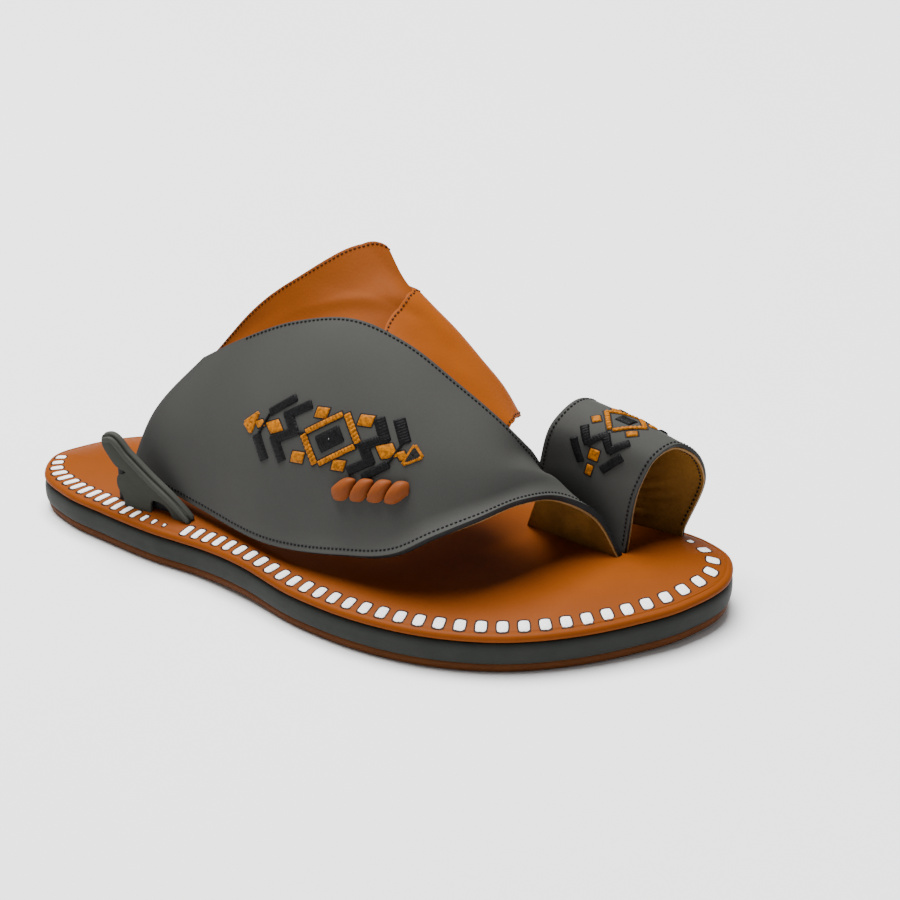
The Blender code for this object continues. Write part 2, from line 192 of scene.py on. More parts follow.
# Folded band along the tab's top: its line, and each ply's place across, place up, half sizes
TAB_BAND = ((-62, 19.8), (-70.9, 27.4), (-81.2, 34.6), (-91.4, 42.5), (-99.4, 48.8), (-103, 47.6))
TAB_BAND_PLIES = ((-35.5, -0.75, 0.85, 1.1), (-33.1, 0.35, 1.3, 1.2))
# How square the band's section is, and how suddenly its ends close
BAND_SQUARENESS, BAND_CLOSING = 0.6, 24

# Lacing: length before the first patch, from the heel, and length left free at the end
LATERAL, MEDIAL = -1, 1
LACING_START = 2.6
LACING_END = 2.0
# Place along the shoe, distance between patches; distance in from the edge on each side
LACING_PITCH = ((-145, 4.6), (-90, 5), (-50, 5.6), (0, 6.6), (60, 8), (110, 8.2), (140, 8.8))
LACING_INSET = {
    LATERAL: ((-145, 5.4), (-105, 5.3), (-88, 4.2), (-68, 3.8), (-60, 4.8), (60, 5.2),
              (100, 5.4), (125, 6.2), (143, 7.8)),
    MEDIAL: ((-145, 5.4), (60, 6), (110, 8.5), (134, 9.2), (143, 7.8)),
}
# Half sizes (share of the pitch, millimetres inward), and lean along the edge from heel to toe
LACING_HALF = (0.29, 2.9)
LACING_SLANT = ((-145, 0), (-133, 0.7), (-105, 0.52), (-60, 0.3), (70, 0.04))
# Spans under the tab, the loop and the straps: side, start, end, both tapers
LACING_GAPS = (
    (LATERAL, -65.5, -64, 28, 2), (MEDIAL, 62, 111.5, 16, 17), (MEDIAL, -141, -40, 6, 16),
)
# Smallest patch, taper of its length, and the margin by which the dark patch under it outgrows it,
# as slits and painted shadow
LACING_LEAST, LACING_TAPER, SLOT_SHADOW_MARGIN = 0.16, 0.7, 0.4

# Embroidery chart on the face, in millimetres from its middle: along the motif, up the face
MOTIF_CENTRE = np.array((2.81, -32.0, 73.8))
MOTIF_ALONG = np.array((0.994, 0.047, 0.095))
# Rib and place across where the search for a chart's point starts
MOTIF_START = (2.9, 1.0)
# Rows of thread: distance, turn, depth in the leather, length of the rounded ends
THREAD_PITCH, THREAD_TURN, THREAD_SINK, THREAD_ENDS = 0.75, 0.18, 0.06, 0.5
# How the black satin and the orange cord are sewn
SATIN = {"height": 0.9, "pitch": 1.15, "wound": 0.2}
CORD = {"pitch": 1.5, "wound": 0.6}
# Dark ground under the thread, painted shadow round the stitches: how far it shows on each side,
# its height
SHADOW_REACH, GROUND_AND_SHADOW_HEIGHT = 0.6, 0.2
# Orange frame of one half (start, end, width); a half turn about the middle gives the other half
FRAME_BARS = (((-10.9, 1.3), (4.1, 10.1), 2.2), ((-5.7, -10.5), (-12, 0.4), 3))
FRAME_DIAMONDS = (((-7.4, 9.5), (-1.9, 9.5), 4.5), ((-16.7, -8.8), (-10.9, -8.8), 4.7))
DIAMOND_LEAN = 0.24
PATCH_LEAN = -0.28
HEART_BAR = ((-5, -3), (4.8, 2.9), 7.2)
PALE_DOT = ((-0.4, -0.1), (0.4, 0.2), 0.7, 1.25)
# Black zigzag, side bars and ties, and orange pieces, of the rear half
ZIGZAG = (((-9.6, 12.3), (-21.6, 6), 3.8), ((-20.6, 8.2), (-15.6, -0.6), 4.9),
          ((-14.2, 1.7), (-27, -4.1), 3.9), ((-26, -1.9), (-21.2, -11.4), 4.8))
SIDE_BARS = (((-17, 14.1), (-28.9, 6.6), 3.3), ((-34.5, -2.4), (-29.7, -12), 4.7))
TIES = (((-16, 0.8), (-11.6, 0.8), 0.9), ((-28.4, 6.6), (-33.6, -2.8), 0.9))
FRONT_HALF_STRETCH = np.array((0.87, 0.93))
# Orange patches and tips: those of the front half are drawn larger; inset of a tip's filling
REAR_PATCHES = (((-28.8, 0.5), (-22.8, 2.6), 5.2), ((-34.7, 1.2), (-31, 2.5), 3.1))
FRONT_PATCHES = (((20.4, -2.5), (26.8, -0.6), 5.8), ((27.9, -3), (31.1, -1.9), 3.7))
REAR_TIP = ((-37.3, -2.2), (-40.8, 1.4), (-34.2, 6))
FRONT_TIP = ((33.4, 2.1), (36.9, -2), (30.2, -5.7))
TIP_INSET = 0.2

# Embroidery on the loop: millimetres down from the crest, forward of the middle row
LOOP_FRAME = (((-0.4, -8.9), (8.4, -0.4), 1.9), ((8.2, 0.6), (-0.4, 8.3), 1.9))
LOOP_DIAMONDS = (((4.4, -9.6), (7, -6.8), 3.2), ((4.6, 8.8), (7.4, 6), 3.2))
LOOP_HEART = ((0, -3.2), (0, 3.4), 5.4)
LOOP_ZIGZAG = (((10, -9.9), (17.4, -4), 3.4), ((17.2, -4.9), (10.2, 0.6), 3.4),
               ((10.4, -0.6), (17.2, 5.6), 3.4), ((17.2, 4.4), (10, 9.9), 3.4))
LOOP_BARS = (((16.2, -10.8), (25.2, -4.9), 3.4), ((16.6, 10.4), (25.4, 3.9), 3.4))
LOOP_PATCHES = (((18, -0.6), (22.6, -0.6), 4.4), ((24.8, -0.8), (29.2, -1), 2.8))

# Beads: places on the chart, half sizes, lean, rise, overlap, full shoulders, width of the dark
# band under them, painted shadow between the lobes
BEAD_PLACES = ((7.9, -18), (15.2, -17.4), (22.4, -16.8), (29.3, -16.4))
BEAD_HALF = (3.6, 4.7, 2.9)
BEAD_LEAN, BEAD_RISE, BEAD_OVERLAP = 0.5, 0.3, 0.35
BEAD_FULLNESS = (1.08, -0.3)
BEAD_SHADOW_WIDTH = 5.0
# The row's outer ends: which way, how much longer, how pointed
BEAD_ENDS = {1: (-1, 0.4, 0.55), 4: (1, 0.3, 0.85)}

# Stitches: pitch, half sizes, look ahead and behind, height, distances from the edges
STITCH_PITCH = 1.8
STITCH_HALF = (0.62, 0.42, 0.32)
STITCH_SIGHT, STITCH_HEIGHT = 0.6, 0.08
TOP_INSET, LOW_INSET, LOOP_INSET, STRAP_INSET = 1.4, 2.2, 1.7, 1.3
# Seams of the face (ribs) and the loop (columns): start, end, points
TOP_SEAM, LOW_SEAM, LOOP_SEAM = (1.15, 7.6, 260), (0.35, 9.6, 300), (0.1, 5.9, 200)
# The loop's front seam as it shows inside: distance from the edge, height
LOOP_INNER_SEAM = (1.5, -2.7)
# Straps: place across where the back edge's and the other seams start
BACK_SEAM_START, STRAP_SEAM_START = 2.05, 1.9

# Camera of the photograph, on a square picture
CAMERA_TARGET = np.array((-15.75, 98.23, 0.0))
CAMERA_AWAY = np.array((0.4240, -0.7650, 0.4848))
CAMERA_DISTANCE = 1120.0
CAMERA_LENS = 102.5
# Light, in metres
LIGHT_PLACE = Vector((-0.6, 0.25, 2.6))
LIGHT_AIM = Vector((0.0, 0.0, 0.04))


class Signal:
    """A number that varies over a surface; arithmetic on it adds Math nodes."""

    def __init__(self, finish, socket):
        self.finish = finish
        self.socket = socket

    def _math(self, operation, *terms):
        node = self.finish.node("ShaderNodeMath", {"operation": operation}, dict(enumerate(terms)))
        return Signal(self.finish, node.outputs[0])

    def __add__(self, other):
        return self._math("ADD", self, other)

    def __rsub__(self, other):
        return self._math("SUBTRACT", other, self)

    def __mul__(self, other):
        return self._math("MULTIPLY", self, other)

    __radd__ = __add__
    __rmul__ = __mul__

    def wave(self):
        """Up and down once over each whole number."""
        return (self * (2 * math.pi))._math("SINE")

    def between(self, low, high):
        """0 below low, 1 above high, smooth in between."""
        node = self.finish.node("ShaderNodeMapRange", {"interpolation_type": "SMOOTHSTEP"}, {
            "Value": self, "From Min": low, "From Max": high})
        return Signal(self.finish, node.outputs[0])


class Finish:
    """The look of one leather, rubber or thread: a material and the nodes in it."""

    def __init__(self, name, roughness, specular):
        self.material = bpy.data.materials.new(name)
        self.material.use_nodes = True
        self.tree = self.material.node_tree
        self.shader = self.tree.nodes["Principled BSDF"]
        self.rough(roughness)
        self.feed(self.shader.inputs["Specular IOR Level"], specular)

    def feed(self, socket, value):
        """Link a signal or a socket to a socket, or set its value."""
        source = value.socket if isinstance(value, Signal) else value
        if isinstance(source, bpy.types.NodeSocket):
            self.tree.links.new(source, socket)
        else:
            socket.default_value = value

    def node(self, kind, settings, sockets):
        """A node of that kind: its settings first, then the values or links of its sockets."""
        node = self.tree.nodes.new(kind)
        for key, value in settings.items():
            setattr(node, key, value)
        for key, value in sockets.items():
            self.feed(node.inputs[key], value)
        return node

    def place(self):
        return self.node("ShaderNodeTexCoord", {}, {}).outputs["Object"]

    def sheet_place(self, axis):
        """Place on the sheet, from 0 to 1, along or across it."""
        uv = self.node("ShaderNodeTexCoord", {}, {}).outputs["UV"]
        return Signal(self, self.node("ShaderNodeSeparateXYZ", {}, {0: uv}).outputs[axis])

    def noise(self, size, detail=2.0, rough=0.5):
        """Cloudy noise whose blots are about that many millimetres across."""
        node = self.node("ShaderNodeTexNoise", {}, {
            "Vector": self.place(), "Scale": 1 / (size * MM), "Detail": detail, "Roughness": rough})
        return Signal(self, node.outputs[0])

    def pebbles(self, size, feature="F1"):
        """Cells like leather grain, about that many millimetres across."""
        node = self.node("ShaderNodeTexVoronoi", {"feature": feature},
                         {"Vector": self.place(), "Scale": 1 / (size * MM)})
        return Signal(self, node.outputs["Distance"])

    def blend(self, mask, colour, other):
        node = self.node("ShaderNodeMix", {"data_type": "RGBA"}, {0: mask, 6: colour, 7: other})
        return node.outputs[2]

    def mottle(self, colour, size, detail, span, shares):
        """The colour with darker and lighter clouds."""
        cloud = self.noise(size, detail).between(*span)
        return self.blend(cloud, *(tint(colour, share) for share in shares))

    def bump(self, height, depth, strength):
        node = self.node("ShaderNodeBump", {}, {
            "Strength": strength, "Distance": depth * MM, "Height": height})
        self.feed(self.shader.inputs["Normal"], node.outputs[0])

    def paint(self, colour):
        self.feed(self.shader.inputs["Base Color"], colour)

    def rough(self, roughness):
        self.feed(self.shader.inputs["Roughness"], roughness)


def tint(colour, share):
    """The colour made lighter or darker."""
    return (*(channel * share for channel in colour[:3]), 1.0)


def nubuck(name, colour, edges=True):
    """Matt grey leather with a short nap, darker where edges are handled."""
    finish = Finish(name, roughness=0.7, specular=0.05)
    body = finish.mottle(colour, 45, 2, (0.25, 0.8), (0.94, 1.06))
    if edges:
        across = finish.sheet_place(1)
        edge = (1 - across.between(0, 0.03)) + across.between(0.97, 1)
        body = finish.blend(edge * 0.4, body, tint(colour, 0.6))
    speck = finish.noise(0.9).between(0.35, 0.7)
    finish.paint(finish.blend(speck * 0.1, body, tint(colour, 1.3)))
    nap = finish.noise(0.45, 3, 0.6) + finish.noise(2.2) * 0.5
    finish.bump(nap, 0.12, 0.3)
    finish.rough(0.6 + finish.noise(6) * 0.16)
    return finish.material


def smooth_leather(name, colour, gloss=0.42):
    """Tan leather with a fine grain, a soft gloss and a little mottling."""
    finish = Finish(name, roughness=gloss, specular=0.05)
    body = finish.mottle(colour, 30, 3, (0.25, 0.8), (0.92, 1.08))
    pores = finish.pebbles(0.75)
    body = finish.blend((1 - pores.between(0, 0.35)) * 0.16, body, tint(colour, 0.6))
    finish.paint(body)
    grain = finish.pebbles(1.1, "SMOOTH_F1") + finish.noise(5, 3) * 0.6
    finish.bump(grain, 0.1, 0.4)
    finish.rough(gloss - 0.06 + finish.noise(3, 3) * 0.14)
    return finish.material


def lining_leather(name, colour):
    """Beige lining with pores and soft wrinkles."""
    finish = Finish(name, roughness=0.6, specular=0.05)
    body = finish.mottle(colour, 12, 4, (0.3, 0.7), (0.78, 1.15))
    pores = finish.pebbles(1.3)
    finish.paint(finish.blend((1 - pores.between(0.05, 0.3)) * 0.45, body, tint(colour, 0.45)))
    finish.bump(pores + finish.noise(4, 3), 0.25, 0.6)
    return finish.material


def cut_edge(name, colour, roughness=0.55):
    """Cut and inked edge of a ply."""
    finish = Finish(name, roughness=roughness, specular=0.15)
    finish.paint(finish.mottle(colour, 0.6, 3, (0.3, 0.7), (0.88, 1.12)))
    finish.bump(finish.noise(0.5), 0.1, 0.4)
    return finish.material


def moulded_rubber(name, colour, roughness):
    """Matt moulded rubber with a fine skin and scuffs."""
    finish = Finish(name, roughness=roughness, specular=0.07)
    finish.paint(finish.mottle(colour, 9, 4, (0.3, 0.75), (0.93, 1.07)))
    finish.bump(finish.noise(0.7, 3) + finish.noise(6) * 0.5, 0.12, 0.5)
    finish.rough(roughness - 0.08 + finish.noise(4, 3) * 0.16)
    return finish.material


def thread(name, colour):
    """Satin-stitched thread: strands side by side, with painted shade in the grooves between them.
    """
    finish = Finish(name, roughness=0.5, specular=0.1)
    strand = finish.sheet_place(0).wave()
    body = finish.mottle(colour, 1.3, 3, (0.35, 0.65), (0.6, 1.2))
    # Painted shade: the grooves between strands are darkened.
    finish.paint(finish.blend((1 - strand.between(-1, 0.2)) * 0.7, body, tint(colour, 0.3)))
    finish.bump(strand * 0.5 + finish.noise(0.5, 3) * 0.8, 0.35, 0.8)
    return finish.material


def floor_paper(name):
    """White paper with a faint unevenness."""
    finish = Finish(name, roughness=0.9, specular=0.1)
    finish.paint(finish.blend(finish.noise(180.0), (0.86, 0.86, 0.86, 1.0), (0.9, 0.9, 0.9, 1.0)))
    return finish.material


def smooth_at(points, place):
    """Points on smooth curves through knots; points is (..., knots, axes), place counts knots."""
    place = np.asarray(place, float)
    points = np.asarray(points, float)
    points = np.broadcast_to(points, (*place.shape, *points.shape[-2:]))
    last = points.shape[-2] - 1
    first = np.clip(np.floor(place).astype(int), 0, last - 1)

    def knot(number):
        number = np.clip(number, 0, last)[..., None, None]
        return np.take_along_axis(points, number, axis=-2)[..., 0, :]

    p1 = knot(first)
    p2 = knot(first + 1)
    p0 = np.where((first > 0)[..., None], knot(first - 1), 2 * p1 - p2)
    p3 = np.where((first + 2 <= last)[..., None], knot(first + 2), 2 * p2 - p1)
    before, here, after = (
        np.linalg.norm(b - a, axis=-1, keepdims=True) for a, b in ((p0, p1), (p1, p2), (p2, p3))
    )
    step = p2 - p1
    leave = (before * step + here ** 2 / before * (p1 - p0)) / (before + here)
    arrive = (after * step + here ** 2 / after * (p3 - p2)) / (after + here)
    t = (place - first)[..., None]
    square, cube = 3 * step - 2 * leave - arrive, leave + arrive - 2 * step
    return p1 + leave * t + square * t ** 2 + cube * t ** 3


def closed_curve(knots, steps):
    """Points on a smooth closed curve, that many to a knot."""
    looped = np.vstack([knots[-2:], knots, knots[:3]])
    return smooth_at(looped, 2 + np.arange(len(knots) * steps) / steps)


def unit(vectors):
    return vectors / np.linalg.norm(vectors, axis=-1, keepdims=True)


def placed(points):
    """Drawn points in metres, from the frame's origin."""
    return (np.asarray(points, float) - SOLE_MIDDLE) * MM


# Finishes
TAN = (0.232, 0.056, 0.006)
NUBUCK = nubuck("grey_nubuck", (0.045, 0.045, 0.042))
TAB_LEATHER = nubuck("tab_leather", (0.044, 0.045, 0.039), edges=False)
# The web is a darker copy of the tab leather: painted shade of the web set back under the band.
SHADED_TAB_WEB_LEATHER = nubuck("tab_web_painted_shade", (0.036, 0.037, 0.031), edges=False)
STRAP_LEATHER = smooth_leather("tan_strap_leather", TAN)
# The rear strap is the same tan leather made darker: painted shade.
SHADED_REAR_STRAP_LEATHER = smooth_leather("tan_rear_strap_painted_shade", tint(TAN, 0.74), gloss=0.6)
FOOTBED_LEATHER = smooth_leather("tan_footbed_leather", (0.160, 0.037, 0.003), gloss=0.48)
BEAD_LEATHER = smooth_leather("bead_leather", (0.165, 0.043, 0.011))
LINING = lining_leather("beige_lining", (0.170, 0.078, 0.015))
# Inked black cut edge of the plies; the tab's inner ply uses it too, as painted shade.
INKED_EDGE_AND_SHADE = cut_edge("inked_edge_and_painted_shade", (0.006, 0.006, 0.0065), 0.5)
TAN_EDGE = cut_edge("cut_tan_edge", (0.110, 0.026, 0.004))
LINING_EDGE = cut_edge("cut_lining_edge", (0.200, 0.105, 0.034))
MIDSOLE_RUBBER = moulded_rubber("dark_midsole_rubber", (0.0235, 0.0255, 0.0232), 0.55)
OUTSOLE_RUBBER = moulded_rubber("brown_outsole_rubber", (0.080, 0.0255, 0.0065), 0.6)
SLOT_SHADOW = cut_edge("slot_shadow", (0.020, 0.006, 0.002), 0.7)
LACE_WHITE = cut_edge("white_lace", (0.86, 0.86, 0.85), 0.5)
BLACK_THREAD = thread("black_thread", (0.005, 0.005, 0.0056))
ORANGE_THREAD = thread("orange_thread", (0.33, 0.105, 0.0))
BROWN_THREAD = thread("brown_thread", (0.060, 0.017, 0.004))
THREAD_GROUND_AND_SHADOW = cut_edge("thread_ground_and_painted_shadow", (0.010, 0.009, 0.008), 0.7)
PALE_THREAD = thread("pale_thread", (0.25, 0.26, 0.25))


def sole_outline():
    """Points around the sole: heel, lateral side, toe, medial side."""
    lateral = [(x, low) for x, low, high in SOLE_STATIONS]
    medial = [(x, high) for x, low, high in reversed(SOLE_STATIONS)]
    return closed_curve(np.array([HEEL_BACK, *lateral, TOE_TIP, *medial]), STEPS_PER_STATION)


OUTLINE = sole_outline()
OUTLINE_ALONG = unit(np.roll(OUTLINE, -1, axis=0) - np.roll(OUTLINE, 1, axis=0))
OUTLINE_INWARD = np.stack([-OUTLINE_ALONG[:, 1], OUTLINE_ALONG[:, 0]], axis=1)


def lift(x):
    """Rise of the whole sole at the waist and the toe."""
    waist = np.clip((x - ARCH_SPAN[0]) / (ARCH_SPAN[1] - ARCH_SPAN[0]), 0, 1)
    toe = np.clip((x - TOE_SPAN[0]) / (TOE_SPAN[1] - TOE_SPAN[0]), 0, 1)
    return ARCH_LIFT * np.sin(np.pi * waist) ** 2 + TOE_SPRING * toe ** 2


def insole_top(xy):
    """Height of the padded footbed at places (..., 2)."""
    flat = np.reshape(xy, (-1, 1, 2))
    reach = np.linalg.norm(OUTLINE[None] - flat, axis=2).min(axis=1)
    reach = reach.reshape(np.shape(xy)[:-1])
    rim, height = INSOLE_SIDE[-1]
    inside = np.clip((reach - rim) / (CROWN_REACH - rim), 0, 1)
    at, width, depth = RIM_GROOVE
    groove = depth * np.exp(-((reach - at) / width) ** 2)
    return height + CROWN_HEIGHT * (1 - (1 - inside) ** 2) - groove + lift(np.asarray(xy)[..., 0])


def landed(points, where):
    """The same points, set down into the footbed's leather where that is so."""
    down = np.column_stack([points[:, :2], insole_top(points[:, :2]) - SINK])
    return np.where(where[:, None], down, points)


def rib_table():
    """Knots of every rib; past the straps a rib runs on straight from the face's edge."""
    straps = [np.array([slope, brow, ridge, np.add(ridge, RIDGE_TURN), side, base])
              for slope, brow, ridge, side, base in STRAP_RIBS]
    straps.append(2 * straps[-1] - straps[-2])
    rows = []
    for number, face in enumerate(FACE_RIBS):
        if number < len(straps):
            beyond = straps[number]
        else:
            step = np.subtract(face[2], face[1])
            beyond = [np.add(face[2], step * k) for k in range(1, len(straps[0]) + 1)]
        rows.append([*face, *beyond])
    return np.array(rows, float)


RIBS = rib_table()


def on_sheet(knots, row, column):
    """Points on a smooth sheet through a table of knots."""
    line = np.stack([smooth_at(knots[:, k], row) for k in range(knots.shape[1])], axis=-2)
    return smooth_at(line, column)


def skin(rib, across):
    """Points on the upper's skin at rib numbers and places across it."""
    return on_sheet(RIBS, rib, across)


def face_skin(rib, across):
    """The upper's skin with the face's low hem curled outwards."""
    points = skin(rib, across)
    reach = np.linalg.norm(points - skin(rib, np.zeros_like(points[..., 0])), axis=-1)
    near = np.clip(1 - reach / HEM_WIDTH, 0, 1) ** 2
    curl = HEM_FLARE * np.interp(rib, *zip(*HEM_RIBS)) * near
    return points + curl[..., None] * HEM_WAY


def loop_skin(row, column):
    """Points on the toe loop's skin, by row from the rear and column from the lateral foot."""
    return on_sheet(np.array(LOOP_RIBS), row, column)


def raised(surface, first, second, height):
    """Points at a height above a surface."""
    along = surface(first + SHORT, second) - surface(first - SHORT, second)
    over = surface(first, second + SHORT) - surface(first, second - SHORT)
    return surface(first, second) + unit(np.cross(along, over)) * np.asarray(height)[..., None]


def move(verts, points):
    """Set vertices down at drawn points."""
    for vert, point in zip(verts, placed(points)):
        vert.co = point


def grid_of(along, across, shape):
    """A grid over (0, 0) to (1, 1) whose vertices shape() moves to drawn points."""
    mesh = bmesh.new()
    mesh.loops.layers.uv.new("UVMap")
    bmesh.ops.create_grid(mesh, x_segments=along, y_segments=across, size=0.5, calc_uvs=True)
    flat = np.array([vert.co[:2] for vert in mesh.verts]) + 0.5
    move(mesh.verts, shape(flat[:, 0], flat[:, 1]))
    return mesh


def linked(name, data):
    """A new object of the scene."""
    item = bpy.data.objects.new(name, data)
    bpy.context.scene.collection.objects.link(item)
    return item


def mesh_object(name, mesh, finishes):
    """Close a bmesh into a named object."""
    data = bpy.data.meshes.new(name)
    mesh.to_mesh(data)
    mesh.free()
    data.shade_smooth()
    for material in finishes:
        data.materials.append(material)
    return linked(name, data)


def add_piece(name, mesh, finishes, stands_for=()):
    """A named piece that rides on the sandal."""
    piece = mesh_object(name, mesh, finishes)
    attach(piece, "root")
    if stands_for:
        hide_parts(*stands_for)
    return piece


def add_sheet(name, shape, cells, finishes, stands_for=(), *, thickness, rounding):
    """A sheet thickened inwards; its second finish is the inside and its third the cut edge."""
    piece = add_piece(name, grid_of(*cells, shape), finishes, stands_for)
    wall = piece.modifiers.new("wall", "SOLIDIFY")
    wall.thickness = thickness * MM
    wall.offset = -1
    wall.material_offset = 1
    wall.material_offset_rim = 2
    edge = piece.modifiers.new("rounded edge", "BEVEL")
    edge.width = rounding * MM
    edge.segments = 2
    edge.limit_method = "ANGLE"
    edge.angle_limit = math.radians(55)


def add_sole_layer(name, side, crowned, material, node):
    """A layer of the sole: floor, side and top in one grid around the outline."""
    rows = []
    around = len(OUTLINE)
    opposite = -np.arange(around) % around
    profile = smooth_at(side, np.linspace(0, len(side) - 1, SIDE_ROWS))

    def ring(inset, share, height):
        line = OUTLINE + OUTLINE_INWARD * inset
        middle = (line + line[opposite]) / 2
        xy = middle + (line - middle) * share
        heights = height + lift(xy[:, 0]) if height is not None else insole_top(xy)
        return np.column_stack([xy, heights])

    for share in np.linspace(0, 1, FLOOR_ROWS)[:-1]:
        rows.append(ring(side[0][0], share, side[0][1]))
    rows.extend(ring(inset, 1, height) for inset, height in profile)
    for place in np.linspace(0, 1, CROWN_ROWS if crowned else FLOOR_ROWS)[1:]:
        share = 1 - place ** ROW_CROWDING
        rows.append(ring(side[-1][0], share, None if crowned else side[-1][1]))
    table = np.array(rows)

    def shape(u, v):
        row = np.rint(v * (len(table) - 1)).astype(int)
        return table[row, np.rint(u * around).astype(int) % around]

    mesh = grid_of(around, len(table) - 1, shape)
    bmesh.ops.remove_doubles(mesh, verts=mesh.verts, dist=WELD * MM)
    return add_piece(name, mesh, [material], [node])


def arc_lengths(points, closed=False):
    """Length along a line up to each of its points."""
    ends = np.vstack([points, points[:1]]) if closed else points
    return np.concatenate([[0], np.cumsum(np.linalg.norm(np.diff(ends, axis=0), axis=1))])


def lacing_size(x, side):
    """1 in the open, shrinking to nothing where the lacing goes under a strap or the tab."""
    size = 1.0
    for gap_side, start, end, taper_before, taper_after in LACING_GAPS:
        if side == gap_side:
            size = min(size, max((start - x) / taper_before, (x - end) / taper_after))
    return size


def add_lacing():
    """White lace through slots around the footbed: a patch between each pair of slots, over a
    larger dark patch that draws the slits and painted shadow.
    """
    half_way = len(OUTLINE) // 2
    sides = np.where(np.arange(len(OUTLINE)) < half_way, LATERAL, MEDIAL)
    insets = [np.interp(x, *zip(*LACING_INSET[side])) for x, side in zip(OUTLINE[:, 0], sides)]
    line = OUTLINE + OUTLINE_INWARD * np.array(insets)[:, None]
    lengths = arc_lengths(line, closed=True)
    whites, slot_shadows = bmesh.new(), bmesh.new()
    place = LACING_START
    while place < lengths[-1] - LACING_END:
        index = int(np.searchsorted(lengths, place, side="right")) - 1
        share = (place - lengths[index]) / (lengths[index + 1] - lengths[index])
        following = (index + 1) % len(OUTLINE)
        centre = line[index] * (1 - share) + line[following] * share
        along = unit(OUTLINE_ALONG[index] * (1 - share) + OUTLINE_ALONG[following] * share)
        inward = np.array([-along[1], along[0]])
        pitch = np.interp(centre[0], *zip(*LACING_PITCH))
        size = lacing_size(centre[0], sides[index])
        place += pitch
        if size < LACING_LEAST:
            continue
        half = np.array([LACING_HALF[0] * pitch, LACING_HALF[1]]) * (size ** LACING_TAPER, size)
        slant = np.interp(centre[0], *zip(*LACING_SLANT))
        lie = (centre, along, inward, slant)
        add_patch(whites, *lie, half, height=0.5, rim=-0.08)
        # Under each white patch, a larger dark one: the slits, and painted shadow round its rim.
        add_patch(slot_shadows, *lie, half + SLOT_SHADOW_MARGIN, height=0.03, rim=0.03)
    add_piece("lacing_slot_shadows", slot_shadows, [SLOT_SHADOW])
    add_piece("white_lacing", whites, [LACE_WHITE])


def add_patch(mesh, centre, along, inward, slant, half, height, rim):
    """A rounded, slanted pillow on the footbed, with its rim at a height."""
    verts = bmesh.ops.create_grid(mesh, x_segments=6, y_segments=6, size=1)["verts"]
    flat = np.array([vert.co[:2] for vert in verts])
    round_off = np.sqrt(1 - flat[:, ::-1] ** 2 / 2)
    shaped = flat * (0.5 + 0.5 * round_off) * half
    shaped[:, 0] += slant * shaped[:, 1]
    xy = centre + shaped[:, :1] * along + shaped[:, 1:] * inward
    dome = height * (1 - np.abs(flat).max(axis=1) ** 4) + rim
    move(verts, np.column_stack([xy, insole_top(xy) + dome]))


def edge_curve(table, across):
    """Rib number of an edge at places across the upper, rounded between its points."""
    dense = smooth_at(table, np.linspace(0, len(table) - 1, SAMPLES_PER_POINT * len(table)))
    return np.interp(across, dense[:, 0], dense[:, 1])


def add_face():
    """Grey outer ply of the face, and the beige lining behind it."""
    def outer(u, v):
        return landed(face_skin(LAST_RIB * u, FACE_TOP * v ** HEM_CROWDING), u > LAST)

    def inner(u, v):
        start = LINING_BACK / RIB_STEP
        rib = start + u * (LAST_RIB - start)
        top, low = skin(rib, np.full_like(u, FACE_TOP)), skin(rib, np.zeros_like(u))
        back = LINING_BACK / np.linalg.norm(top - low, axis=1) * FACE_TOP
        across = back + (FACE_TOP - 2 * back) * v ** HEM_CROWDING
        points = raised(face_skin, rib, across, -FACE_PLY - PLY_GAP)
        return landed(points, u > LAST)

    add_sheet("face_leather", outer, (150, 64), [NUBUCK, LINING, INKED_EDGE_AND_SHADE], ["face"],
              thickness=FACE_PLY, rounding=0.45)
    add_sheet("face_lining", inner, (120, 48), [LINING, LINING, LINING_EDGE],
              thickness=FACE_LINING, rounding=0.3)


def skin_behind(depth):
    """The upper's skin set back by a depth at its knots, so that tight turns stay round."""
    rows = np.arange(len(STRAP_RIBS) + 1.0)
    rows, places = np.meshgrid(rows, np.arange(float(RIBS.shape[1])), indexing="ij")
    knots = raised(skin, rows, places, -depth)
    return lambda rib, across: on_sheet(knots, rib, across)


REAR_SKIN = skin_behind(FACE_DEPTH + OVERLAY_WALL)
FRONT_SKIN = skin_behind(FACE_DEPTH)


def add_straps():
    """Rear strap, running on under the front strap, and the front strap over it."""
    tucked = [(across, rib - STRAP_TUCK) for across, rib in FRONT_EDGE]
    overlay = OVERLAY_WALL - PLY_GAP
    for name, leather, edges, surface, thickness, stands_for in (
        ("rear_strap", SHADED_REAR_STRAP_LEATHER, (BACK_EDGE, tucked), REAR_SKIN, STRAP_WALL,
         ["instep_straps"]),
        ("front_strap", STRAP_LEATHER, (OVERLAY_EDGE, FRONT_EDGE), FRONT_SKIN, overlay, ()),
    ):
        def shape(u, v):
            across = np.interp(v, *zip(*STRAP_COLUMNS))
            first, second = (edge_curve(edge, across) for edge in edges)
            return landed(surface(first + (second - first) * u, across), v > LAST)

        add_sheet(name, shape, (60, 150), [leather, leather, TAN_EDGE], stands_for,
                  thickness=thickness, rounding=0.4)


